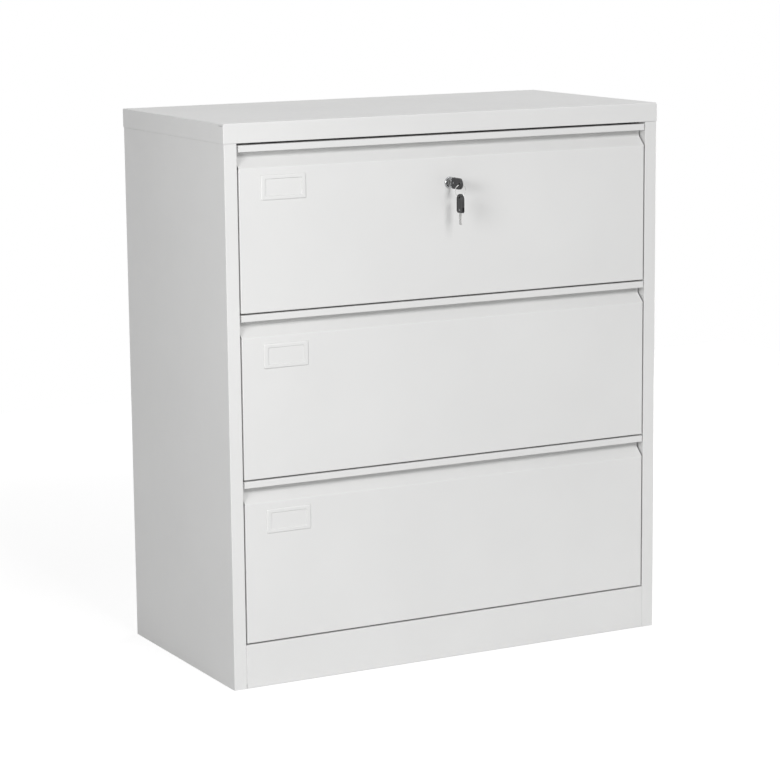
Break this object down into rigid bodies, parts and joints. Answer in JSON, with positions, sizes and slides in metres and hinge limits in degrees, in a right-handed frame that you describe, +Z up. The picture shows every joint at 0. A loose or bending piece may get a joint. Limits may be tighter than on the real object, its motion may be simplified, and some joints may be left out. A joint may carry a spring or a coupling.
{
  "type": "lateral filing cabinet",
  "caption": "Sheet-metal lateral filing cabinet with full-width hook-pull drawers on ball slides, label frames, and a cam lock with a folding key and a spare on a ring.",
  "frame": {"origin": "on the floor, under the middle of the whole part's box, with the keys in the lock included", "axes": "+X to the right seen from the front, +Y to the back, +Z up; the drawers open along -Y"},
  "size_m": [0.9022, 0.5012, 1.02],
  "materials": {
    "paint": "light grey powder coat, satin, fine orange peel",
    "zinc": "bright zinc plate",
    "chrome": "polished chrome",
    "black_plastic": "moulded black plastic, satin"
  },
  "bodies": {
    "cabinet": {"top_panel": "paint", "back_panel": "paint", "base_panel": "paint", "top_front_rail": "paint", "left_side_panel": "paint", "right_side_panel": "paint", "left_front_upright": "zinc", "left_rear_upright": "zinc", "right_front_upright": "zinc", "right_rear_upright": "zinc", "drawer_1_left_slide_outer": "zinc", "drawer_1_right_slide_outer": "zinc", "drawer_2_left_slide_outer": "zinc", "drawer_2_right_slide_outer": "zinc", "drawer_3_left_slide_outer": "zinc", "drawer_3_right_slide_outer": "zinc"},
    "drawer_1": {"drawer_1_front": "paint", "drawer_1_front_liner": "paint", "drawer_1_body": "paint", "drawer_1_back": "paint", "drawer_1_front_hanging_rail": "zinc", "drawer_1_rear_hanging_rail": "zinc", "drawer_1_label_holder": "paint", "drawer_1_left_slide_inner": "zinc", "drawer_1_right_slide_inner": "zinc", "lock_barrel": "chrome", "lock_nut": "zinc"},
    "drawer_2": {"drawer_2_front": "paint", "drawer_2_front_liner": "paint", "drawer_2_body": "paint", "drawer_2_back": "paint", "drawer_2_front_hanging_rail": "zinc", "drawer_2_rear_hanging_rail": "zinc", "drawer_2_label_holder": "paint", "drawer_2_left_slide_inner": "zinc", "drawer_2_right_slide_inner": "zinc"},
    "drawer_3": {"drawer_3_front": "paint", "drawer_3_front_liner": "paint", "drawer_3_body": "paint", "drawer_3_back": "paint", "drawer_3_front_hanging_rail": "zinc", "drawer_3_rear_hanging_rail": "zinc", "drawer_3_label_holder": "paint", "drawer_3_left_slide_inner": "zinc", "drawer_3_right_slide_inner": "zinc"},
    "drawer_1_slide_middle": {"drawer_1_left_slide_middle": "zinc", "drawer_1_right_slide_middle": "zinc"},
    "drawer_2_slide_middle": {"drawer_2_left_slide_middle": "zinc", "drawer_2_right_slide_middle": "zinc"},
    "drawer_3_slide_middle": {"drawer_3_left_slide_middle": "zinc", "drawer_3_right_slide_middle": "zinc"},
    "lock_core": {"lock_plug": "chrome", "lock_cam": "zinc"},
    "lock_bolt": {"lock_bolt": "zinc"},
    "key": {"key_blade": "chrome"},
    "key_head": {"key_head": "black_plastic"},
    "key_ring": {"key_ring": "chrome"},
    "spare_key": {"spare_key_head": "black_plastic"},
    "spare_key_blade": {"spare_key_blade": "chrome"}
  },
  "joints": [
    {"name": "drawer_1_pull_out", "type": "slide", "parent": "cabinet", "child": "drawer_1", "axis": [0, -1, 0], "range_m": [0, 0.38]},
    {"name": "drawer_2_pull_out", "type": "slide", "parent": "cabinet", "child": "drawer_2", "axis": [0, -1, 0], "range_m": [0, 0.38]},
    {"name": "drawer_3_pull_out", "type": "slide", "parent": "cabinet", "child": "drawer_3", "axis": [0, -1, 0], "range_m": [0, 0.38]},
    {"name": "drawer_1_slide_middle_run", "type": "slide", "parent": "cabinet", "child": "drawer_1_slide_middle", "axis": [0, -1, 0], "range_m": [0, 0.19]},
    {"name": "drawer_2_slide_middle_run", "type": "slide", "parent": "cabinet", "child": "drawer_2_slide_middle", "axis": [0, -1, 0], "range_m": [0, 0.19]},
    {"name": "drawer_3_slide_middle_run", "type": "slide", "parent": "cabinet", "child": "drawer_3_slide_middle", "axis": [0, -1, 0], "range_m": [0, 0.19]},
    {"name": "lock_turn", "type": "hinge", "parent": "drawer_1", "child": "lock_core", "pos_m": [0, -0.20055, 0.8936], "axis": [0, 1, 0], "range_deg": [0, 90]},
    {"name": "lock_bolt_lift", "type": "slide", "parent": "drawer_1", "child": "lock_bolt", "axis": [0, 0, 1], "range_m": [0, 0.017]},
    {"name": "key_pull_out", "type": "slide", "parent": "lock_core", "child": "key", "axis": [0, -1, 0], "range_m": [0, 0.03]},
    {"name": "key_fold", "type": "hinge", "parent": "key", "child": "key_head", "pos_m": [0, -0.2173, 0.8936], "axis": [1, 0, 0], "range_deg": [0, 90]},
    {"name": "ring_swing", "type": "hinge", "parent": "key_head", "child": "key_ring", "pos_m": [0, -0.2403, 0.8927], "axis": [1, 0, 0], "range_deg": [-90, 0]},
    {"name": "spare_key_swing", "type": "hinge", "parent": "key_ring", "child": "spare_key", "pos_m": [0, -0.2403, 0.8707], "axis": [-1, 0, 0], "range_deg": [-5, 60]},
    {"name": "spare_key_fold", "type": "hinge", "parent": "spare_key", "child": "spare_key_blade", "pos_m": [0, -0.2403, 0.8468], "axis": [-1, 0, 0], "range_deg": [0, 90]}
  ],
  "couplings": [
    {"joint": "drawer_1_slide_middle_run", "follows": "drawer_1_pull_out", "ratio": 0.5},
    {"joint": "drawer_2_slide_middle_run", "follows": "drawer_2_pull_out", "ratio": 0.5},
    {"joint": "drawer_3_slide_middle_run", "follows": "drawer_3_pull_out", "ratio": 0.5},
    {"joint": "lock_bolt_lift", "follows": "lock_turn", "m_per_rad": 0.010804},
    {"joint": "ring_swing", "follows": "key_fold", "ratio": -1}
  ]
}
